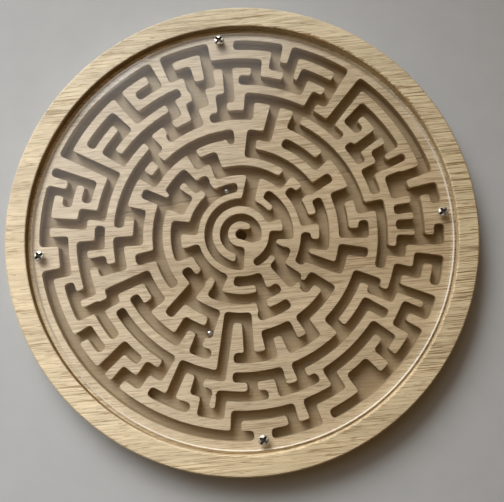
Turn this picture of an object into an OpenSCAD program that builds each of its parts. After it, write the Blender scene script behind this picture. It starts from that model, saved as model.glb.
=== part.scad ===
// Round wooden ball maze: a glued two-stave board with a milled labyrinth, a clear
// cover disc held by four screws, and two loose steel balls.
// Millimetres, +Z up. The origin is the centre of the underside of the board,
// +X runs towards the right screw and +Y through the top screw.

/* [Board] */
// Outside radius of the board
board_r = 140; // [125:1:165]
// Thickness of the board
board_t = 19; // [18:0.5:24]
// Width of the raised rim
rim_w = 12.2; // [9:0.1:15]
// Depth from the rim top down to the wall tops
recess_d = 6; // [5.6:0.1:8]
// Small bevel on the outer edges
edge_bevel = 0.8; // [0.4:0.1:1.5]
// Distance of the glue line from the centre
seam_y = 26.6; // [22:0.1:34]
// Slope of the glue line and of the grain, degrees
seam_tilt = 4; // [1:0.5:7]

/* [Maze] */
// Groove width as a share of the ring spacing
groove_share = 0.55; // [0.5:0.01:0.58]
// Groove depth below the wall tops
groove_d = 7; // [5:0.1:8]
// Goal pocket diameter
goal_d = 6.4; // [5.4:0.1:7]
// Goal pocket depth below the groove floor
goal_deep = 3; // [1:0.1:3.5]
// Radius the cutter leaves in groove corners
groove_corner = 2.2; // [1.2:0.1:2.3]
// Radius on the standing wall corners
wall_corner = 1.4; // [0.6:0.1:1.6]

/* [Cover] */
// Thickness of the clear disc
cover_t = 3; // [2:0.1:4]
// Gap between the disc and the rim
cover_gap = 2.3; // [0.6:0.1:3]
// Width of the bevel on the disc edge
cover_bevel = 0.3; // [0.1:0.05:0.6]
// Diameter of the screw holes in the disc
cover_hole_d = 3.4; // [3.1:0.1:4]

/* [Screws] */
// Diameter of the shank
shank_d = 2.8; // [2.2:0.1:3]
// Length under the head
screw_len = 12; // [8:0.5:13]
// Diameter of the head
head_d = 6; // [5:0.1:7]
// Height of the head
head_h = 2.2; // [1.8:0.1:2.6]
// Tip-to-tip width of the cross recess
cross_w = 4; // [2.8:0.1:4.4]
// Width of one slot of the cross recess
slot_w = 1; // [0.6:0.05:1.2]
// Depth of the cross recess
cross_d = 1.4; // [0.9:0.05:1.5]

/* [Balls] */
// Diameter of a ball
ball_d = 4; // [3:0.1:4.4]
// Clear run between the inner ball and the near end of its groove
inner_ball_run = 4.8; // [0.4:0.1:12]
// Clear run between the outer ball and the near end of its groove
outer_ball_run = 0.6; // [0.4:0.1:6]

/* [Hidden] */
// Clearance between a resting ball and the groove floor
ball_gap = 0.2;
// Clearance of the pilot hole around the shank
pilot_gap = 0.05;
rim_r = board_r - rim_w;
wall_top = board_t - recess_d;
floor_z = wall_top - groove_d;
cover_r = rim_r - cover_gap;
cover_top = wall_top + cover_t;
screw_r = cover_r - 5.2;
// Directions of the right, top, left and bottom screws, degrees
screw_a = [-0.5, 90, 180, 270];
ring_out = cover_r - 7.6;
ring_step = ring_out * 0.0946;
groove_w = ring_step * groove_share;
// How far rings 1 to 9 lie outside their even spacing, in ring steps
ring_trim = [-0.02, -0.045, -0.02, 0, 0, -0.065, -0.105, -0.085, -0.025];

// Centre radius of ring groove k, counted 1 to 11 from the outside in
function ring_r(k) = k <= 9 ? ring_out - ring_step * (k - 1 - ring_trim[k - 1])
                   : k == 10 ? ring_step * 1.73
                   : ring_step * 0.9;

// Relative width of ring groove k, the two rings round the goal being narrower
function ring_w(k) = k <= 9 ? groove_w : groove_w * 0.8;

// Ring grooves from the outside in, each row a list of [from, to] in degrees
arcs = [
  [[2.5, 8.5], [11.5, 46.5], [50, 68.5], [71, 86], [93, 108.5], [111, 150], [159, 178],
   [184.5, 267.5], [272.5, 287.5], [290, 325.5], [328.5, 335.5], [338.5, 347], [350, 356.5]],
  [[350, 368.5], [23, 41], [50, 63.5], [65.5, 74.5], [77, 95], [100.5, 108.5], [111, 120.5],
   [129, 143.5], [154, 164.5], [174, 187], [189.5, 202.5], [205, 214], [222, 231],
   [233.5, 247.5], [250.5, 258.5], [261, 281], [284, 297.5], [312, 320], [322.5, 330.5],
   [339.5, 346.5]],
  [[6.5, 15.5], [18, 25.5], [34.5, 41], [50.5, 57.5], [60.5, 84.5], [93.5, 103.5],
   [106.5, 127], [129, 143.5], [153, 162], [164.5, 171.5], [176, 196.5], [199, 213.5],
   [216.5, 225.5], [227.5, 236], [245.5, 252.5], [255.5, 273.5], [277, 292], [294.5, 319.5],
   [328.5, 341.5], [345, 353]],
  [[339.5, 367], [10, 21.5], [24, 34], [37.5, 82.5], [86, 93.5], [97.5, 107], [109.5, 143],
   [146, 167.5], [170, 180], [182.5, 190], [195, 203], [205.5, 236], [239.5, 257],
   [260.5, 280.5], [284.5, 325.5], [328, 335.5]],
  [[4, 60], [77.5, 98.5], [102, 121], [125.5, 170.5], [174.5, 190.5], [203.5, 235],
   [239.5, 250], [260.5, 280.5], [285, 302.5], [307.5, 335.5], [351.5, 360]],
  [[352, 378], [34, 59.5], [65.5, 80.5], [87.5, 144], [159, 179.5], [195.5, 214.5],
   [230, 249], [275, 291.5], [296.5, 324.5], [330.5, 347.5]],
  [[343, 379], [24, 79.5], [99, 118.5], [124, 143], [147, 212.5], [219, 248.5],
   [253.5, 271], [275.5, 299], [310.5, 324.5]],
  [[4, 37.5], [44, 107.5], [113.5, 130.5], [137.5, 152.5], [161.5, 198], [205.5, 228],
   [235, 300], [326, 355]],
  [[346, 413], [87.5, 172.5], [188, 245.5], [255.5, 289.5], [305.5, 337.5]],
  [[17, 268], [287.5, 357.5]],
  [[328, 636]]
];

// Straight links, [direction, outer ring, inner ring, width in groove widths]
links = [
  [7.2, 1, 2, 1], [72.6, 1, 2, 1], [107, 1, 2, 1], [113, 1, 2, 1], [160.2, 1, 2, 0.8],
  [175.8, 1, 2, 1], [185.7, 1, 2, 1], [206.5, 1, 2, 1], [223.8, 1, 2, 1], [262.3, 1, 2, 1],
  [279.3, 1, 2, 1], [285.6, 1, 2, 1], [313.8, 1, 2, 1], [324, 1, 2, 1], [329.6, 1, 2, 0.9],
  [345.8, 1, 2, 1], [351.8, 1, 2, 1],
  [13.2, 1, 3, 1], [51.9, 1, 3, 1], [67, 1, 3, 1], [95, 1, 3, 1], [125, 1, 3, 1],
  [154.9, 1, 3, 0.9], [170, 1, 3, 1], [218.1, 1, 3, 1], [334.3, 1, 3, 0.9],
  [45.2, 1, 4, 1], [148.4, 1, 4, 1],
  [2.4, 2, 3, 1], [19.1, 2, 3, 0.8], [24.3, 2, 3, 1], [39.7, 2, 3, 1], [62, 2, 3, 1],
  [67.2, 2, 3, 1], [78.4, 2, 3, 1], [102, 2, 3, 1], [131.2, 2, 3, 1], [194.6, 2, 3, 1],
  [200.5, 2, 3, 1], [229.2, 2, 3, 1], [251.7, 2, 3, 1], [257, 2, 3, 1], [296.2, 2, 3, 1],
  [318.4, 2, 3, 1], [340.8, 2, 3, 1], [351.4, 2, 3, 1], [356.8, 2, 3, 1],
  [30.1, 2, 4, 1], [88.3, 2, 4, 1], [240.4, 2, 4, 1],
  [19.7, 3, 4, 1], [55.5, 3, 4, 1], [100.4, 3, 4, 1.5], [111.7, 3, 4, 1], [141.4, 3, 4, 1],
  [166, 3, 4, 1], [177.9, 3, 4, 1], [184.6, 3, 4, 1], [201.2, 3, 4, 1], [234.1, 3, 4, 1],
  [247.9, 3, 4, 1], [268.1, 3, 4, 1], [278.7, 3, 4, 1], [286.7, 3, 4, 1], [324.4, 3, 4, 1],
  [330.5, 3, 4, 1], [347, 3, 4, 1],
  [5.6, 4, 5, 1], [58.2, 4, 5, 1], [80, 4, 5, 1], [92, 4, 5, 1], [104.5, 4, 5, 1],
  [117.2, 4, 5, 1], [127.8, 4, 5, 1], [188.6, 4, 5, 1], [309.8, 4, 5, 1], [333.6, 4, 5, 1],
  [68.7, 4, 6, 1], [197.7, 4, 6, 1], [255.9, 4, 7, 1],
  [14.1, 5, 6, 1.4], [36.7, 5, 6, 1], [131.7, 5, 6, 0.8], [142.4, 5, 6, 0.9], [162, 5, 6, 1],
  [177.1, 5, 6, 1], [212.1, 5, 6, 1], [232.6, 5, 6, 1], [242.3, 5, 6, 1], [278.2, 5, 6, 1],
  [288.8, 5, 6, 1.4], [299.5, 5, 6, 1], [344.9, 5, 6, 1], [354, 5, 6, 1], [267.7, 5, 7, 1],
  [26.3, 6, 7, 1], [77.4, 6, 7, 1], [114.7, 6, 7, 1], [187.6, 6, 7, 1.15], [245.7, 6, 7, 1],
  [321.7, 6, 7, 1], [150.6, 6, 8, 1], [222, 6, 8, 1], [333.8, 6, 8, 1],
  [5.2, 7, 8, 1], [28, 7, 8, 1], [46.5, 7, 8, 1], [103.4, 7, 8, 1], [127.3, 7, 8, 1],
  [140.5, 7, 8, 1], [223.8, 7, 8, 1.25], [280.4, 7, 8, 1], [345.7, 7, 8, 1],
  [119.5, 8, 9, 1], [167.2, 8, 9, 1.25], [193, 8, 9, 1], [222.3, 8, 9, 1.15],
  [240.5, 8, 9, 1], [284.3, 8, 9, 1], [71.5, 8, 10, 1.3],
  [328.5, 9, 10, 1.25], [352, 9, 10, 0.85], [262, 10, 11, 0.85]
];

// Wider bays, [inner radius, outer radius in ring steps, from, to in degrees]
bays = [
  [8.3, 9.33, 6.4, 15.4], [9.22, 10.85, 300.2, 308.7], [3.29, 4.2, 137.6, 152.4],
  [2.29, 3.97, 305.4, 319.8], [1.52, 2.77, 15, 33], [4.91, 5.6, 87.4, 91.8]
];

// Signed difference of two directions, from -180 to 180 degrees
function turn(a) = a - 360 * round(a / 360);

// Half of the angle a groove takes up on ring k
function half_angle(k) = asin(groove_w / 2 / ring_r(k));

// Directions of the links meeting ring k close to direction a
function links_at(k, a) = [
  for (s = links)
    if (k >= s[1] && k <= s[2] && abs(turn(a - s[0])) < half_angle(k) * s[3] + 0.9) s[0]
];

// Direction of the ball in the ninth ring, its arc starting at a plain end
function inner_ball_a() =
  arcs[8][1][0] + asin((ball_d / 2 + inner_ball_run) / ring_r(9));

// Direction of the ball in the sixth ring, its arc ending in the link at 245.7 degrees
function outer_ball_a() =
  links_at(6, arcs[5][6][1])[0] + half_angle(6)
  - asin((ball_d / 2 + outer_ball_run) / ring_r(6));

// An arc that ends in a link runs to the middle of it, so both share one corner
function end_at(k, a) =
  let (near = links_at(k, a)) len(near) > 0 ? a + turn(near[0] - a) : a;

// Flat ring sector between two radii and two directions
module sector(r_in, r_out, from, to) {
  count = max(2, ceil((to - from) * PI / 180 * r_out / sqrt(r_out / 2)));
  step = (to - from) / count;
  polygon(concat(
    [for (i = [0:count]) r_out * [cos(from + i * step), sin(from + i * step)]],
    [for (i = [count:-1:0]) r_in * [cos(from + i * step), sin(from + i * step)]]
  ));
}

module groove_arc(k, from, to) {
  half = ring_w(k) / 2;
  sector(ring_r(k) - half, ring_r(k) + half, end_at(k, from), end_at(k, to));
}

module groove_link(a, outer, inner, width) {
  low = ring_r(inner) - ring_w(inner) / 2;
  high = ring_r(outer) + ring_w(outer) / 2;
  rotate(a)
    translate([low, -groove_w * width / 2])
      square([high - low, groove_w * width]);
}

// Way from the goal out to the innermost ring
module goal_way() {
  for (a = [335, 355])
    rotate(a)
      translate([0, -goal_d * 0.47])
        square([ring_r(11), goal_d * 0.94]);
  circle(d = goal_d, $fn = 24);
}

// Everything the cutter takes out, with square corners
module maze_paths() {
  for (k = [1:11])
    for (arc = arcs[k - 1])
      groove_arc(k, arc[0], arc[1]);
  for (s = links)
    groove_link(s[0], s[1], s[2], s[3]);
  for (b = bays)
    sector(b[0] * ring_step, b[1] * ring_step, b[2], b[3]);
  goal_way();
}

// Maze outline on one side of the glue line, run 1 mm past it, with rounded corners
module maze_plan(side) {
  offset(delta = 0)
    intersection() {
      offset(r = -wall_corner, $fn = 12)
        offset(r = wall_corner + groove_corner, $fn = 12)
          offset(delta = -groove_corner)
            maze_paths();
      rotate(seam_tilt)
        translate([-1.5 * board_r, seam_y - 1 - side * (3 * board_r - 2)])
          square(3 * board_r);
    }
}

// Turned blank: a disc with a raised rim round a flat recess
module blank() {
  rotate_extrude($fn = 180)
    polygon([
      [0, 0],
      [board_r - edge_bevel, 0],
      [board_r, edge_bevel],
      [board_r, board_t - edge_bevel],
      [board_r - edge_bevel, board_t],
      [rim_r + edge_bevel / 2, board_t],
      [rim_r, board_t - edge_bevel / 2],
      [rim_r, wall_top],
      [0, wall_top]
    ]);
}

// Half of the blank on one side of the glue line, side being 0 above or 1 below it
module stave(side) {
  difference() {
    intersection() {
      blank();
      rotate(seam_tilt)
        translate([-1.5 * board_r, seam_y - side * 3 * board_r, -1])
          cube([3 * board_r, 3 * board_r, board_t + 2]);
    }
    translate([0, 0, floor_z])
      linear_extrude(groove_d + 1)
        maze_plan(side);
    translate([0, 0, floor_z - goal_deep])
      cylinder(h = goal_deep + 1, d = goal_d, $fn = 48);
    for (a = screw_a)
      rotate(a)
        translate([screw_r, 0, cover_top - screw_len - 0.3])
          cylinder(h = screw_len, d = shank_d + 2 * pilot_gap, $fn = 36);
  }
}

// Wooden stave above the glue line
module upper_stave() {
  color([0.85, 0.68, 0.42])
    stave(0);
}

// Wooden stave below the glue line
module lower_stave() {
  color([0.80, 0.62, 0.37])
    stave(1);
}

// Clear disc lying on the wall tops
module cover() {
  color([0.85, 0.9, 0.92, 0.35])
    difference() {
      translate([0, 0, wall_top])
        rotate_extrude($fn = 180)
          polygon([
            [0, 0],
            [cover_r - cover_bevel, 0],
            [cover_r, cover_bevel],
            [cover_r, cover_t - cover_bevel],
            [cover_r - cover_bevel, cover_t],
            [0, cover_t]
          ]);
      for (a = screw_a)
        rotate(a)
          translate([screw_r, 0, wall_top - 1])
            cylinder(h = cover_t + 2, d = cover_hole_d, $fn = 36);
    }
}

// Pan-head wood screw with a cross recess, the underside of its head at z = 0
module screw() {
  dome_r = head_d * 0.75;
  color([0.72, 0.72, 0.70])
    difference() {
      union() {
        intersection() {
          cylinder(h = head_h, d = head_d, $fn = 48);
          translate([0, 0, head_h - dome_r])
            sphere(r = dome_r, $fn = 72);
        }
        translate([0, 0, -screw_len + shank_d])
          cylinder(h = screw_len - shank_d + 0.2, d = shank_d, $fn = 36);
        translate([0, 0, -screw_len])
          cylinder(h = shank_d, d1 = 0.4, d2 = shank_d, $fn = 36);
      }
      for (a = [0, 90])
        rotate(a)
          translate([-cross_w / 2, -slot_w / 2, head_h - cross_d])
            cube([cross_w, slot_w, cross_d + 1]);
      translate([0, 0, head_h - cross_d])
        cylinder(h = cross_d + 1, d1 = slot_w * 1.1, d2 = slot_w * 2.4, $fn = 24);
    }
}

module screw_at(i, twist) {
  rotate(screw_a[i])
    translate([screw_r, 0, cover_top])
      rotate(twist)
        screw();
}

module screw_right() {
  screw_at(0, 30);
}

module screw_top() {
  screw_at(1, 45);
}

module screw_left() {
  screw_at(2, 30);
}

module screw_bottom() {
  screw_at(3, 50);
}

// Loose steel ball on the groove floor of ring k
module ball(k, a) {
  color([0.75, 0.76, 0.78])
    rotate(a)
      translate([ring_r(k), 0, floor_z + ball_gap + ball_d / 2])
        sphere(d = ball_d, $fn = 48);
}

module ball_inner() {
  ball(9, inner_ball_a());
}

module ball_outer() {
  ball(6, outer_ball_a());
}

upper_stave();
lower_stave();
cover();
screw_right();
screw_top();
screw_left();
screw_bottom();
ball_inner();
ball_outer();
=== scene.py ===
import bmesh
import bpy
import numpy as np
from mathutils import Euler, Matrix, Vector


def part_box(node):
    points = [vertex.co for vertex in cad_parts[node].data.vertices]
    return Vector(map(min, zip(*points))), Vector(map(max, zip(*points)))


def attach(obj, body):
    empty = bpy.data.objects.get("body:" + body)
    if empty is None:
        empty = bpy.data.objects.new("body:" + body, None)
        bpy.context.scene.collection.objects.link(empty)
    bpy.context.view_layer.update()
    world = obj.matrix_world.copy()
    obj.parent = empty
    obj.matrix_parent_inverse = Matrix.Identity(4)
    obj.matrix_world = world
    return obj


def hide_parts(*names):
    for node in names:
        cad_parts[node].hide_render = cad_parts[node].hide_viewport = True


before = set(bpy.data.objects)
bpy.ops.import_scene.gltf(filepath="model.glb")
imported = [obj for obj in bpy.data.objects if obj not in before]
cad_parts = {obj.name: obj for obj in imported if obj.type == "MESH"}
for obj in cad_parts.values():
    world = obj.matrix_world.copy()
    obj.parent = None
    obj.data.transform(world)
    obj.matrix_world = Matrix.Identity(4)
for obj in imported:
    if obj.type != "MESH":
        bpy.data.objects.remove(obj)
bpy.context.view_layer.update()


# The board: two staves of pale straw-coloured timber glued edge to edge, turned to a disc,
# rebated for the cover and milled with the maze. The long grain runs across the board. Its
# colour carries painted light and shade, darker towards one end. Sanded and left raw, so the
# cut edges stay a little furred.
MM = 0.001
wall_top_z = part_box("cover")[0].z
rim_top_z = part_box("upper_stave")[1].z
rim_inner_r = 127.8 * MM
groove_floor_z = wall_top_z - 7 * MM
goal_r = 3.2 * MM
same_corner = 0.002 * MM
smooth_below = np.radians(36)
grain_tilt = np.radians(-1.0)
pith_depth = 55 * MM
pith_lean_across, pith_lean_down = 0.07, 0.11
rings_per_metre = 420
ring_wander = 7.0
fibre_wander = 3 * MM
shaded_wall_side = np.radians(160)
torn_side = np.radians(55)


def joined_copy(node, name):
    """Copy of a CAD node: its loose triangles are joined where corners coincide, and edges
    that bend by less than smooth_below are shaded as one surface."""
    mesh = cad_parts[node].data.copy()
    mesh.name = name
    if "custom_normal" in mesh.attributes:
        mesh.attributes.remove(mesh.attributes["custom_normal"])
    work = bmesh.new()
    work.from_mesh(mesh)
    bmesh.ops.remove_doubles(work, verts=work.verts, dist=same_corner)
    work.to_mesh(mesh)
    work.free()
    mesh.shade_smooth()
    mesh.set_sharp_from_angle(angle=smooth_below)
    mesh.materials.clear()
    piece = bpy.data.objects.new(name, mesh)
    bpy.context.scene.collection.objects.link(piece)
    return piece


def new_group(name, inputs, outputs):
    """Empty shader node group with the named sockets, each given as (name, kind, value)."""
    tree = bpy.data.node_groups.new(name, "ShaderNodeTree")
    for socket, kind, value in inputs:
        made = tree.interface.new_socket(socket, in_out="INPUT", socket_type=kind)
        made.default_value = value
    for socket, kind in outputs:
        tree.interface.new_socket(socket, in_out="OUTPUT", socket_type=kind)
    return tree, tree.nodes.new("NodeGroupInput"), tree.nodes.new("NodeGroupOutput")


def put(socket, value):
    """Feeds a socket: another socket is linked to it, anything else is set on it."""
    if isinstance(value, bpy.types.NodeSocket):
        socket.id_data.links.new(value, socket)
    else:
        socket.default_value = value


def maths(tree, operation, first, second=0.0, third=0.0, clamp=False):
    """One Math node, its inputs numbers or sockets; returns its output."""
    node = tree.nodes.new("ShaderNodeMath")
    node.operation = operation
    node.use_clamp = clamp
    for socket, value in zip(node.inputs, (first, second, third)):
        put(socket, value)
    return node.outputs[0]


def times(tree, product, *factors):
    """Product of two or more masks or numbers."""
    for factor in factors:
        product = maths(tree, "MULTIPLY", product, factor)
    return product


def vector_maths(tree, operation, first, second=(0, 0, 0)):
    """One Vector Math node; returns the node."""
    node = tree.nodes.new("ShaderNodeVectorMath")
    node.operation = operation
    put(node.inputs[0], first)
    put(node.inputs[1], second)
    return node


def along(tree, vector, way):
    """Length of a vector along a fixed direction."""
    return vector_maths(tree, "DOT_PRODUCT", vector, way).outputs["Value"]


def split(tree, vector):
    """X, Y and Z of a vector."""
    node = tree.nodes.new("ShaderNodeSeparateXYZ")
    put(node.inputs[0], vector)
    return node.outputs["X"], node.outputs["Y"], node.outputs["Z"]


def joined(tree, x, y, z=0.0):
    """Vector made of X, Y and Z."""
    node = tree.nodes.new("ShaderNodeCombineXYZ")
    for socket, value in zip(node.inputs, (x, y, z)):
        put(socket, value)
    return node.outputs[0]


def ramp(tree, value, low, high, to_low=0.0, to_high=1.0):
    """Smooth step of a value between low and high, mapped to to_low and to_high."""
    node = tree.nodes.new("ShaderNodeMapRange")
    node.interpolation_type = "SMOOTHSTEP"
    for socket, number in zip(node.inputs, (value, low, high, to_low, to_high)):
        put(socket, number)
    return node.outputs[0]


def fall(tree, value, low, high):
    """Smooth step of a value from one at low down to zero at high."""
    return ramp(tree, value, low, high, 1.0, 0.0)


def between(tree, value, climb, drop):
    """Mask of a value that rises over climb and goes down over drop, each a (from, to) pair."""
    return times(tree, ramp(tree, value, *climb), fall(tree, value, *drop))


def blend(tree, kind, share, first, second):
    """One colour Mix node of the given kind; returns its colour."""
    node = tree.nodes.new("ShaderNodeMix")
    node.data_type = "RGBA"
    node.blend_type = kind
    put(node.inputs[0], share)
    put(node.inputs[6], first)
    put(node.inputs[7], second)
    return node.outputs[2]


def own_place(tree):
    """Object coordinates: metres from the middle of the board's underside."""
    return tree.nodes.new("ShaderNodeTexCoord").outputs["Object"]


def stretched_noise(tree, coords, stretch, detail=3.0, roughness=0.55, shift=(0, 0, 0)):
    """Noise over coordinates scaled by stretch, in features per metre along each axis."""
    mapping = tree.nodes.new("ShaderNodeMapping")
    put(mapping.inputs["Vector"], coords)
    put(mapping.inputs["Location"], shift)
    put(mapping.inputs["Scale"], stretch)
    noise = tree.nodes.new("ShaderNodeTexNoise")
    put(noise.inputs["Vector"], mapping.outputs[0])
    put(noise.inputs["Scale"], 1.0)
    put(noise.inputs["Detail"], detail)
    put(noise.inputs["Roughness"], roughness)
    return noise.outputs["Fac"]


def timber_group():
    """Solid timber cut from one trunk: growth rings are distances from a pith line lying
    under the board, bent by slow noise; fibres, streaks and pores are noises drawn out along
    the grain. It gives a colour, a roughness and a softened, furrowed normal."""
    tree, given, gives = new_group(
        "timber",
        [
            ("Plank", "NodeSocketVector", (0.0, 0.0, 0.0)),
            ("Early Wood", "NodeSocketColor", (0.6, 0.5, 0.3, 1)),
            ("Late Wood", "NodeSocketColor", (0.5, 0.4, 0.2, 1)),
            ("Streak", "NodeSocketColor", (0.3, 0.2, 0.1, 1)),
            ("Coarse", "NodeSocketFloat", 0.0),
        ],
        [
            ("Color", "NodeSocketColor"),
            ("Roughness", "NodeSocketFloat"),
            ("Normal", "NodeSocketVector"),
        ],
    )
    place = own_place(tree)
    turned = tree.nodes.new("ShaderNodeMapping")
    put(turned.inputs["Vector"], place)
    put(turned.inputs["Rotation"], (0, 0, -grain_tilt))
    grain = vector_maths(tree, "ADD", turned.outputs[0], given.outputs["Plank"]).outputs[0]

    # Slow wander of the fibres bends everything drawn along them
    grain_x, grain_y, grain_z = split(tree, grain)
    wander = stretched_noise(tree, grain, (7, 26, 26), 2)
    fibres = joined(
        tree, grain_x, maths(tree, "MULTIPLY_ADD", wander, fibre_wander, grain_y), grain_z)

    # Growth rings round the pith
    across = maths(tree, "MULTIPLY_ADD", grain_x, pith_lean_across, grain_y)
    height = maths(tree, "MULTIPLY_ADD", grain_x, pith_lean_down, grain_z)
    height = maths(tree, "ADD", height, pith_depth)
    pith = maths(tree, "MULTIPLY_ADD", height, height, times(tree, across, across))
    ring = times(tree, maths(tree, "SQRT", pith), rings_per_metre)
    ring = maths(tree, "FRACT", maths(tree, "MULTIPLY_ADD", wander, ring_wander, ring))
    late = between(tree, ring, (0.35, 0.9), (0.92, 1.0))

    # Where a point lies: its reach from the middle, its height and the way it faces
    x, y, z = split(tree, place)
    reach = vector_maths(tree, "LENGTH", joined(tree, x, y)).outputs["Value"]
    facing = tree.nodes.new("ShaderNodeNewGeometry").outputs["True Normal"]
    upright = fall(tree, maths(tree, "ABSOLUTE", split(tree, facing)[2]), 0.3, 0.6)
    inside = fall(tree, reach, rim_inner_r - 4 * MM, rim_inner_r - 3 * MM)
    milled = times(tree, inside, between(
        tree, z, (1.0 * MM, 1.5 * MM), (wall_top_z - 0.6 * MM, wall_top_z - 0.1 * MM)))
    # painted shade deepening towards the groove floors; the same mask softens the corners there
    groove_foot = times(tree, milled, fall(tree, z, groove_floor_z + MM, wall_top_z - MM))
    # painted shade in the deep goal pocket
    goal_pocket_shade = times(
        tree, fall(tree, reach, goal_r - 0.1 * MM, goal_r + 0.1 * MM),
        fall(tree, z, groove_floor_z - 1.2 * MM, groove_floor_z))

    # Fibres, broad bands, torn dark dashes that crowd in patches and at one end, open pores.
    # The planed wall tops and the milled grooves are calmer than the rim.
    tone = stretched_noise(tree, fibres, (2.5, 34, 34), 2, shift=(3, 1, 7))
    band = stretched_noise(tree, fibres, (9, 200, 200), 3, 0.6, shift=(1, 5, 2))
    fibre = stretched_noise(tree, fibres, (60, 1500, 1500), 3, 0.6)
    dash = stretched_noise(tree, fibres, (30, 1900, 1900), 2, 0.5, shift=(9, 2, 4))
    fleck = stretched_noise(tree, fibres, (115, 1300, 1300), 1, 0.5, shift=(6, 3, 8))
    pore = ramp(tree, stretched_noise(tree, fibres, (110, 2400, 2400), 2), 0.60, 0.74)
    patch = stretched_noise(tree, fibres, (12, 40, 40), 2, shift=(4, 8, 1))
    patch = ramp(tree, patch, 0.38, 0.7, 0.20, 0.80)
    patch = maths(tree, "ADD", patch, given.outputs["Coarse"])
    coarse_end = ramp(tree, x, 90 * MM, 128 * MM, 0.0, 0.75)
    fine_end = ramp(tree, x, -132 * MM, -90 * MM, -0.25, 0.0)
    patch = maths(tree, "ADD", patch, maths(tree, "ADD", coarse_end, fine_end), clamp=True)
    calm = maths(tree, "MULTIPLY_ADD", inside, -0.2, 1.0)
    calm = maths(tree, "MULTIPLY_ADD", milled, -0.55, calm)
    dash = times(tree, ramp(tree, dash, 0.54, 0.61), patch, calm)
    fleck = times(tree, ramp(tree, fleck, 0.60, 0.68), calm)

    late_share = times(tree, late, 0.30)
    colour = blend(
        tree, "MIX", late_share, given.outputs["Early Wood"], given.outputs["Late Wood"])
    swing = 0.0
    for noise, depth in ((fibre, 0.75), (band, 0.55), (tone, 0.40)):
        swing = maths(tree, "MULTIPLY_ADD", maths(tree, "SUBTRACT", noise, 0.5), depth, swing)
    light = maths(tree, "MULTIPLY_ADD", swing, calm, 1.0)
    colour = blend(tree, "MULTIPLY", 1.0, colour, light)
    for mark, share in ((dash, 0.95), (fleck, 0.55), (times(tree, pore, calm), 0.20)):
        colour = blend(tree, "MIX", times(tree, mark, share), colour, given.outputs["Streak"])

    # Painted light and shade: the right end is darker and warmer and the lower left end paler,
    # as the light falls off across the board, and under the cover the right end and a band
    # across the right middle of the maze are darker still. The near edge is darker and the far
    # one paler and bluer, less so under the cover, and end grain drinks up light
    slant = maths(tree, "ADD", x, y)
    # painted shade: the right end darker and warmer, as the light falls off across the board
    right_end_shade = ramp(tree, x, -110 * MM, 140 * MM)
    # painted light: the lower left end lighter, where the light falls strongest
    lower_left_light = fall(tree, slant, -180 * MM, -80 * MM)
    # darker towards the near edge
    near_edge_darker = fall(tree, y, -136 * MM, -100 * MM)
    # paler and bluer towards the far edge, less so under the cover
    far_edge_paler = ramp(tree, y, 40 * MM, 130 * MM)
    # painted shade: a darker band across the right middle of the maze
    right_middle_shade = between(tree, y, (-42 * MM, -28 * MM), (-14 * MM, 2 * MM))
    right_middle_shade = times(tree, right_middle_shade, ramp(tree, x, -75 * MM, -35 * MM), inside)
    end_grain = along(tree, facing, (np.cos(grain_tilt), np.sin(grain_tilt), 0))
    end_grain = maths(tree, "POWER", maths(tree, "ABSOLUTE", end_grain), 2.0)

    # Painted light on the land under the cover's edge, fading towards the lower left, and a
    # painted reflection of glare on it at the far side
    ledge_light = between(
        tree, reach, (rim_inner_r - 10 * MM, rim_inner_r - 3 * MM),
        (rim_inner_r - MM, rim_inner_r))
    ledge_light = times(tree, ledge_light, ramp(tree, slant, -140 * MM, 0.0))
    far_ledge_glare = times(tree, ledge_light, ramp(tree, y, 108 * MM, 120 * MM))

    # The rim's inner edge: its wall carries painted shade at the upper left, where it faces
    # away from the light, and painted light at the lower right; a frayed band along its lip is
    # softened and carries a painted highlight on the lit side; and dark notches are drawn where
    # the cut tore the grain, their darkness partly painted shade in the tear-outs
    lip = times(
        tree, ramp(tree, z, rim_top_z - MM, rim_top_z - 0.6 * MM),
        ramp(tree, reach, rim_inner_r - MM, rim_inner_r - 0.5 * MM))
    fur = stretched_noise(tree, fibres, (300, 900, 900), 2)
    fur = maths(tree, "MULTIPLY_ADD", fur, 1.6 * MM, reach)
    fur = times(tree, fall(tree, fur, rim_inner_r + 1.2 * MM, rim_inner_r + 1.7 * MM), lip)
    # dark notches where the cut tore the grain; their darkness is partly painted shade in the
    # tear-outs
    notch = stretched_noise(tree, fibres, (160, 1100, 1100), 2, shift=(5, 7, 3))
    notch = maths(tree, "MULTIPLY_ADD", notch, -5.0 * MM, reach)
    notch = fall(tree, notch, rim_inner_r - 1.8 * MM, rim_inner_r - 1.3 * MM)
    torn = along(tree, place, (np.cos(torn_side), np.sin(torn_side), 0))
    notch = times(tree, notch, lip, ramp(tree, torn, 98 * MM, 122 * MM))
    rim_wall = times(tree, upright, between(
        tree, reach, (rim_inner_r - MM, rim_inner_r - 0.5 * MM),
        (rim_inner_r + 0.6 * MM, rim_inner_r + 0.8 * MM)))
    # painted shade on the rim wall at the upper left, facing away from the light, painted light
    # on it elsewhere
    rim_wall_shade = along(tree, place, (np.cos(shaded_wall_side), np.sin(shaded_wall_side), 0))
    rim_wall_shade = ramp(tree, rim_wall_shade, -80 * MM, 100 * MM)
    wall_light_and_shade = blend(tree, "MIX", rim_wall_shade, (1.25, 1.25, 1.30, 1), (0.42, 0.31, 0.15, 1))
    # painted highlight along the lip, on the lit side only
    lip_highlight_tint = blend(tree, "MIX", rim_wall_shade, (1.32, 1.33, 1.35, 1), (1.0, 1.0, 1.0, 1))

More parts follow.
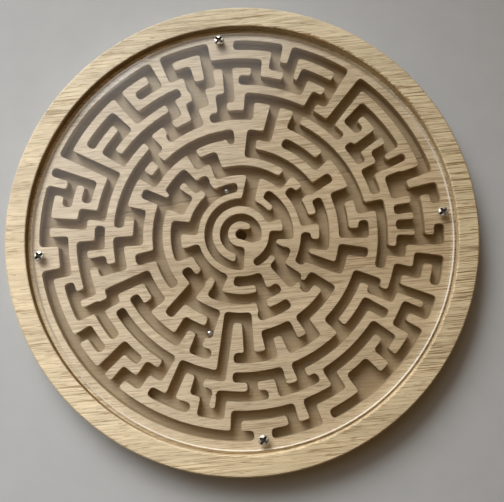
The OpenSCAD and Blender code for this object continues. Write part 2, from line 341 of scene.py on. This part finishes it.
    for mask, tint in (
        (right_end_shade, (0.88, 0.865, 0.79, 1)),
        # painted shade: darker still under the cover at the right end
        (times(tree, right_end_shade, inside), (0.95, 0.91, 0.86, 1)),
        (ledge_light, (1.10, 1.12, 1.16, 1)),
        (far_ledge_glare, (1.20, 1.28, 1.42, 1)),
        (lower_left_light, (1.10, 1.11, 1.11, 1)),
        (near_edge_darker, (0.90, 0.89, 0.86, 1)),
        (far_edge_paler, (1.07, 1.10, 1.14, 1)),
        (times(tree, far_edge_paler, inside), (0.92, 0.91, 0.90, 1)),
        (right_middle_shade, (0.87, 0.85, 0.82, 1)),
        (times(tree, end_grain, 0.22), (0.55, 0.45, 0.34, 1)),
        # milled faces darker: partly their own tone, partly painted shade in the grooves
        (milled, (0.84, 0.79, 0.70, 1)),
        (groove_foot, (0.67, 0.67, 0.69, 1)),
        (goal_pocket_shade, (0.26, 0.22, 0.17, 1)),
        (rim_wall, wall_light_and_shade),
        (fur, lip_highlight_tint),
        (notch, (0.46, 0.36, 0.23, 1)),
    ):
        colour = blend(tree, "MULTIPLY", mask, colour, tint)
    put(gives.inputs["Color"], colour)
    put(gives.inputs["Roughness"], ramp(tree, fibre, 0.2, 0.8, 0.72, 0.55))

    # Furrowed surface over softened edges, softest at the groove's foot and the furred lip
    relief = fibre
    for noise, depth in ((pore, -0.6), (dash, -1.0), (band, 0.4)):
        relief = maths(tree, "MULTIPLY_ADD", noise, depth, relief)
    rounding = maths(tree, "MULTIPLY_ADD", groove_foot, 1.6 * MM, 0.5 * MM)
    rounding = maths(tree, "MULTIPLY_ADD", fur, 0.9 * MM, rounding)
    soft = tree.nodes.new("ShaderNodeBevel")
    soft.samples = 4
    put(soft.inputs["Radius"], rounding)
    bump = tree.nodes.new("ShaderNodeBump")
    put(bump.inputs["Strength"], 0.55)
    put(bump.inputs["Distance"], 0.3 * MM)
    put(bump.inputs["Height"], relief)
    put(bump.inputs["Normal"], soft.outputs[0])
    put(gives.inputs["Normal"], bump.outputs[0])
    return tree


def new_material(name):
    """Material with an empty node tree, its Principled shader and its output."""
    material = bpy.data.materials.new(name)
    material.use_nodes = True
    tree = material.node_tree
    tree.nodes.clear()
    shader = tree.nodes.new("ShaderNodeBsdfPrincipled")
    output = tree.nodes.new("ShaderNodeOutputMaterial")
    tree.links.new(shader.outputs[0], output.inputs["Surface"])
    return material, tree, shader, output


timber = timber_group()
for node, slot, name, plank, coarse, early, late, streak in (
    ("upper_stave", "wood_upper", "upper_timber", (0.31, 0.012, 0.004), 0.0,
     (0.72, 0.620, 0.450, 1), (0.62, 0.495, 0.325, 1), (0.30, 0.195, 0.095, 1)),
    ("lower_stave", "wood_lower", "lower_timber", (-0.52, 0.021, 0.013), 0.1,
     (0.72, 0.610, 0.430, 1), (0.60, 0.475, 0.300, 1), (0.28, 0.180, 0.085, 1)),
):
    material, tree, shader, _ = new_material(name)
    group = tree.nodes.new("ShaderNodeGroup")
    group.node_tree = timber
    put(group.inputs["Plank"], plank)
    put(group.inputs["Coarse"], coarse)
    put(group.inputs["Early Wood"], early)
    put(group.inputs["Late Wood"], late)
    put(group.inputs["Streak"], streak)
    put(shader.inputs["Base Color"], group.outputs["Color"])
    put(shader.inputs["Roughness"], group.outputs["Roughness"])
    put(shader.inputs["Normal"], group.outputs["Normal"])
    put(shader.inputs["Specular IOR Level"], 0.25)

    stave = joined_copy(node, node + "_timber")
    stave.data.materials.append(material)
    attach(stave, "board")
    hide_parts(node)


# The balls: two loose polished steel balls that lie on the groove floor and roll with the
# tilt of the board. Bearing balls, ground and polished all over.
ball_segments = 64


def grid_object(name, points, marks=None):
    """Mesh object from a grid of points [u, v, 3]: neighbouring rows and columns are joined by
    quads and the last row to the first one. Marks are named values, one for each point."""
    rows, columns = points.shape[:2]
    index = np.arange(rows * columns).reshape(rows, columns)
    u = np.vstack([index, index[:1]])
    quads = np.stack([u[:-1, :-1], u[1:, :-1], u[1:, 1:], u[:-1, 1:]], -1).reshape(-1, 4)
    mesh = bpy.data.meshes.new(name)
    mesh.from_pydata(points.reshape(-1, 3).tolist(), [], quads.tolist())
    for mark, values in (marks or {}).items():
        mesh.attributes.new(mark, "FLOAT", "POINT").data.foreach_set("value", values.ravel())
    work = bmesh.new()
    work.from_mesh(mesh)
    bmesh.ops.remove_doubles(work, verts=work.verts, dist=1e-7)
    bmesh.ops.dissolve_degenerate(work, edges=work.edges, dist=1e-8)
    bmesh.ops.recalc_face_normals(work, faces=work.faces)
    work.to_mesh(mesh)
    work.free()
    mesh.shade_smooth()
    piece = bpy.data.objects.new(name, mesh)
    bpy.context.scene.collection.objects.link(piece)
    return piece


def ball_points(centre, radius):
    """Sphere: longitude runs round the vertical axis and latitude from the lower pole to the
    upper one; a point is the centre plus the radius along that direction."""
    lon = np.linspace(0, 2 * np.pi, ball_segments, endpoint=False)[:, None]
    lat = np.linspace(-np.pi / 2, np.pi / 2, ball_segments // 2 + 1)[None, :]
    way = np.stack(
        [np.cos(lon) * np.cos(lat), np.sin(lon) * np.cos(lat), np.sin(lat) + 0 * lon], -1)
    return np.array(centre) + radius * way


ball_steel, tree, shader, _ = new_material("ball_steel")
smudge = stretched_noise(tree, own_place(tree), (700, 700, 700), 3)
put(shader.inputs["Metallic"], 1.0)
put(shader.inputs["Base Color"], blend(
    tree, "MIX", ramp(tree, smudge, 0.35, 0.7), (0.42, 0.42, 0.43, 1), (0.32, 0.31, 0.30, 1)))
put(shader.inputs["Roughness"], ramp(tree, smudge, 0.3, 0.75, 0.32, 0.48))

for node, body in (("ball_inner", "inner_ball"), ("ball_outer", "outer_ball")):
    low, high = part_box(node)
    ball = grid_object(node + "_steel", ball_points((low + high) / 2, (high.z - low.z) / 2))
    ball.data.materials.append(ball_steel)
    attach(ball, body)
    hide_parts(node)


# The cover: a clear cast acrylic disc laid on the wall tops inside the rim with a little play
# and held down by the screws. Its faces keep their polish with faint wiping marks, its sawn
# edge is frosted and chamfered below, and a film of air is left between it and the wall tops.
cover_lift = 0.08 * MM
cover_edge_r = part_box("cover")[1].x
cover_top_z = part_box("cover")[1].z
cover_play = np.array([0.60, -0.55]) * MM
chamfer_width = 0.6 * MM
chamfer_height = 1.1 * MM
underside_band = 1 * MM
foot_band = 0.1 * MM
edge_point_band = 0.6 * MM
edge_face_band = 2 * MM

clear_acrylic, tree, shader, output = new_material("clear_acrylic")
wipe = stretched_noise(tree, own_place(tree), (40, 14, 14), 4)
put(shader.inputs["Roughness"], ramp(tree, wipe, 0.4, 0.8, 0.01, 0.05))
put(shader.inputs["Base Color"], (0.965, 0.968, 0.99, 1))
put(shader.inputs["Transmission Weight"], 1.0)
put(shader.inputs["IOR"], 1.49)
see_through = tree.nodes.new("ShaderNodeBsdfTransparent")
put(see_through.inputs["Color"], (0.95, 0.95, 0.965, 1))
path = tree.nodes.new("ShaderNodeLightPath")
surface = shader.outputs[0]
for ray in ("Is Shadow Ray", "Is Diffuse Ray"):
    either = tree.nodes.new("ShaderNodeMixShader")
    put(either.inputs[0], path.outputs[ray])
    put(either.inputs[1], surface)
    put(either.inputs[2], see_through.outputs[0])
    surface = either.outputs[0]
put(output.inputs["Surface"], surface)

sawn_edge, tree, shader, output = new_material("sawn_edge")
saw_marks = ramp(tree, stretched_noise(tree, own_place(tree), (1400, 1400, 90), 3), 0.3, 0.7)
put(shader.inputs["Base Color"], blend(
    tree, "MIX", saw_marks, (0.86, 0.82, 0.72, 1), (0.97, 0.92, 0.81, 1)))
put(shader.inputs["Roughness"], maths(tree, "MULTIPLY_ADD", saw_marks, 0.25, 0.6))
put(shader.inputs["Specular IOR Level"], 0.15)
glow_through = tree.nodes.new("ShaderNodeBsdfTranslucent")
put(glow_through.inputs["Color"], (0.95, 0.92, 0.86, 1))
frosted = tree.nodes.new("ShaderNodeMixShader")
put(frosted.inputs[0], 0.2)
put(frosted.inputs[1], shader.outputs[0])
put(frosted.inputs[2], glow_through.outputs[0])
put(output.inputs["Surface"], frosted.outputs[0])

cover = joined_copy("cover", "cover_disc")
corners = np.empty(len(cover.data.vertices) * 3)
cover.data.vertices.foreach_get("co", corners)
corners = corners.reshape(-1, 3)
corners[:, 2] += np.where(corners[:, 2] < wall_top_z + underside_band, cover_lift, 0)
reach = np.hypot(corners[:, 0], corners[:, 1])
on_edge = reach > cover_edge_r - edge_point_band
at_foot = on_edge & (corners[:, 2] < wall_top_z + foot_band)
above_foot = on_edge & ~at_foot & (corners[:, 2] < wall_top_z + underside_band)
corners[at_foot, :2] *= ((cover_edge_r - chamfer_width) / reach[at_foot])[:, None]
corners[above_foot, 2] = wall_top_z + chamfer_height
corners[on_edge, :2] += cover_play
cover.data.vertices.foreach_set("co", corners.ravel())
cover.data.update()

cover.data.materials.append(clear_acrylic)
cover.data.materials.append(sawn_edge)
facing = np.empty(len(cover.data.polygons) * 3)
middle = np.empty_like(facing)
cover.data.polygons.foreach_get("normal", facing)
cover.data.polygons.foreach_get("center", middle)
outer = np.hypot(middle[0::3], middle[1::3]) > cover_edge_r - edge_face_band
edge_faces = outer & (facing[2::3] < 0.3) & (facing[2::3] > -0.95)
cover.data.polygons.foreach_set("material_index", edge_faces.astype(np.int32))
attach(cover, "board")
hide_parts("cover")


# The screws: four small zinc-plated pan-head wood screws with a cross recess, driven through
# the cover into the land outside the maze. The thread is rolled on the shank, and the recess
# holds dirt and painted shade.
head_r = 3 * MM
head_h = 2.2 * MM
head_seat = 0.02 * MM
crown_drop = 0.38 * MM
crown_shoulder = 0.30 * MM
shank_r = 1.4 * MM
screw_length = 12 * MM
point_length = 3 * MM
thread_pitch = 1.1 * MM
thread_depth = 0.28 * MM
thread_start = 2.2 * MM
ridge_half_pitches = 0.3
recess_depth = 1.4 * MM
recess_reach = 2.6 * MM
recess_half_middle = 0.992 * MM
recess_half_end = 0.64 * MM
recess_end_rise = 0.5
recess_side_slope = 0.10 * MM
recess_end_slope = 0.12 * MM
turn_steps, crown_steps, shank_steps = 96, 44, 150


def screw_points(place, twist):
    """Screw: a profile runs from the middle of the crown over the domed head, down its side,
    under it to the shank and along the shank to the point, and is turned about the axis. The
    crown sinks by the cross recess, and the shank's radius rises by a ridge that climbs one
    pitch a turn."""
    turn = np.linspace(0, 2 * np.pi, turn_steps, endpoint=False)[:, None]
    crown_r = np.linspace(0, head_r * 0.97, crown_steps)
    out = crown_r / head_r
    crown_z = head_h - crown_drop * out ** 2 - crown_shoulder * out ** 8
    side_r = head_r * np.array([0.992, 1.0, 1.0, 0.99, 0.95])
    side_z = np.array([1.36, 1.05, 0.35, 0.08, 0.0]) * MM
    shank_z = np.linspace(0, -screw_length, shank_steps)
    taper = np.clip((shank_z + screw_length) / point_length, 0, 1) ** 0.7
    r = np.concatenate([crown_r, side_r, (shank_r - thread_depth) * taper])[None, :]
    z = np.concatenate([crown_z, side_z, shank_z])[None, :]
    r, z = r + 0 * turn, z + 0 * turn
    x, y = r * np.cos(turn), r * np.sin(turn)

    # Cross recess: two slots that narrow and grow shallow towards their ends
    crown = np.arange(r.shape[1])[None, :] < len(crown_r)
    sink = np.zeros_like(r)
    for lengthwise, sideways in ((np.abs(x), np.abs(y)), (np.abs(y), np.abs(x))):
        share = lengthwise / recess_reach
        half = recess_half_middle + (recess_half_end - recess_half_middle) * share
        slot = np.clip((half - sideways) / recess_side_slope + 0.5, 0, 1)
        slot = slot * np.clip((recess_reach - lengthwise) / recess_end_slope + 0.5, 0, 1)
        sink = np.maximum(sink, slot * (1 - recess_end_rise * share))
    z = z - crown * sink * recess_depth

    # Rolled thread
    shank = (np.arange(r.shape[1]) >= len(crown_r) + len(side_r))[None, :]
    phase = (z / thread_pitch - turn / (2 * np.pi)) % 1.0
    ridge = np.clip(1 - np.abs(phase - 0.5) / ridge_half_pitches, 0, 1)
    ridge = ridge * np.clip((-thread_start - z) / MM, 0, 1)
    full = np.concatenate([np.ones(len(crown_r) + len(side_r)), taper])[None, :]
    r = r + shank * ridge * thread_depth * full
    x, y = r * np.cos(turn + twist), r * np.sin(turn + twist)
    return np.stack([x, y, z], -1) + np.array(place), crown * sink


zinc, tree, shader, _ = new_material("zinc_plate")
place = own_place(tree)
cloud = stretched_noise(tree, place, (900, 900, 900), 4)
grime = stretched_noise(tree, place, (380, 380, 380), 2, shift=(2, 6, 1))
recess = tree.nodes.new("ShaderNodeAttribute")
recess.attribute_name = "sunk"
# dirt and painted shade in the cross recess
recess_dirt_and_shade = ramp(tree, recess.outputs["Fac"], 0.08, 0.35)
plated = blend(
    tree, "MIX", ramp(tree, grime, 0.42, 0.75), (0.78, 0.76, 0.71, 1), (0.58, 0.55, 0.49, 1))
dirt_and_shade_colour = blend(
    tree, "MIX", ramp(tree, cloud, 0.4, 0.65), (0.03, 0.025, 0.02, 1), (0.18, 0.155, 0.12, 1))
worn = ramp(tree, cloud, 0.25, 0.75, 0.34, 0.50)
put(shader.inputs["Metallic"], 1.0)
put(shader.inputs["Base Color"], blend(tree, "MIX", recess_dirt_and_shade, plated, dirt_and_shade_colour))
put(shader.inputs["Roughness"], maths(tree, "MULTIPLY_ADD", recess_dirt_and_shade, 0.3, worn))

for node, driven in (
    ("screw_right", 29.5), ("screw_top", 45), ("screw_left", 30), ("screw_bottom", 50),
):
    low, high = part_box(node)
    seat = ((low.x + high.x) / 2, (low.y + high.y) / 2, cover_top_z + head_seat)
    points, sunk = screw_points(seat, np.radians(driven))
    screw = grid_object(node + "_zinc", points, {"sunk": sunk})
    screw.data.materials.append(zinc)
    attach(screw, "board")
    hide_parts(node)


# The stage: a plain pale floor and a dim warm room with two soft windows at the upper left.
# One broad lamp with a grid stands on the same side and is aimed past the near left edge, so
# its light falls off across the board.
floor_half = 4.0
floor_mesh = bpy.data.meshes.new("floor")
floor_mesh.from_pydata(
    [(-floor_half, -floor_half, 0), (floor_half, -floor_half, 0),
     (floor_half, floor_half, 0), (-floor_half, floor_half, 0)], [], [(0, 1, 2, 3)])
floor = bpy.data.objects.new("floor", floor_mesh)
bpy.context.scene.collection.objects.link(floor)
pale_floor, tree, shader, _ = new_material("pale_floor")
mottle = stretched_noise(tree, own_place(tree), (60, 60, 60), 5)
put(shader.inputs["Base Color"], blend(
    tree, "MIX", mottle, (0.38, 0.395, 0.41, 1), (0.43, 0.445, 0.46, 1)))
put(shader.inputs["Roughness"], 0.7)
floor_mesh.materials.append(pale_floor)

lamp_around, lamp_up = np.radians((108, 40))
lamp_distance = 1.0
lamp_aim = Vector((-0.30, -0.20, 0.0))
lamp = bpy.data.lights.new("key_lamp", "AREA")
lamp.shape = "ELLIPSE"
lamp.size = 1.2
lamp.size_y = 0.66
lamp.energy = 2.88
lamp.spread = np.radians(60)
lamp.color = (1.0, 0.995, 0.98)
holder = bpy.data.objects.new("key_lamp", lamp)
holder.location = lamp_aim + lamp_distance * Vector((
    np.cos(lamp_up) * np.cos(lamp_around), np.cos(lamp_up) * np.sin(lamp_around),
    np.sin(lamp_up)))
holder.rotation_euler = (holder.location - lamp_aim).to_track_quat("Z", "Y").to_euler()
bpy.context.scene.collection.objects.link(holder)

world = bpy.data.worlds.new("dim_room")
bpy.context.scene.world = world
world.use_nodes = True
tree = world.node_tree
tree.nodes.clear()
toward = tree.nodes.new("ShaderNodeTexCoord").outputs["Generated"]
room = blend(
    tree, "MIX", ramp(tree, split(tree, toward)[2], 0.25, 0.85),
    (0.045, 0.026, 0.010, 1), (0.190, 0.106, 0.034, 1))
wide_window = ramp(tree, along(tree, toward, (-0.396, 0.507, 0.766)), 0.84, 0.985)
far_window = ramp(tree, along(tree, toward, (-0.11, 0.50, 0.859)), 0.955, 0.992)
window = maths(tree, "MAXIMUM", wide_window, far_window)
sky = tree.nodes.new("ShaderNodeBackground")
put(sky.inputs["Color"], blend(tree, "MIX", window, room, (1.25, 1.28, 1.25, 1)))
sky_output = tree.nodes.new("ShaderNodeOutputWorld")
put(sky_output.inputs["Surface"], sky.outputs[0])


# The camera: held almost overhead, a little below the middle and turned a few degrees, with
# a normal lens.
camera_data = bpy.data.cameras.new("camera")
camera_data.lens = 50.96
camera_data.sensor_width = 36.0
camera_data.sensor_fit = "HORIZONTAL"
camera_data.clip_start = 0.01
camera = bpy.data.objects.new("camera", camera_data)
camera.location = (0.00897, -0.06528, 0.43404)
camera.rotation_euler = Euler(np.radians((7.274, 1.295, -6.416)))
bpy.context.scene.collection.objects.link(camera)
bpy.context.scene.camera = camera
bpy.context.scene.view_settings.view_transform = "Standard"
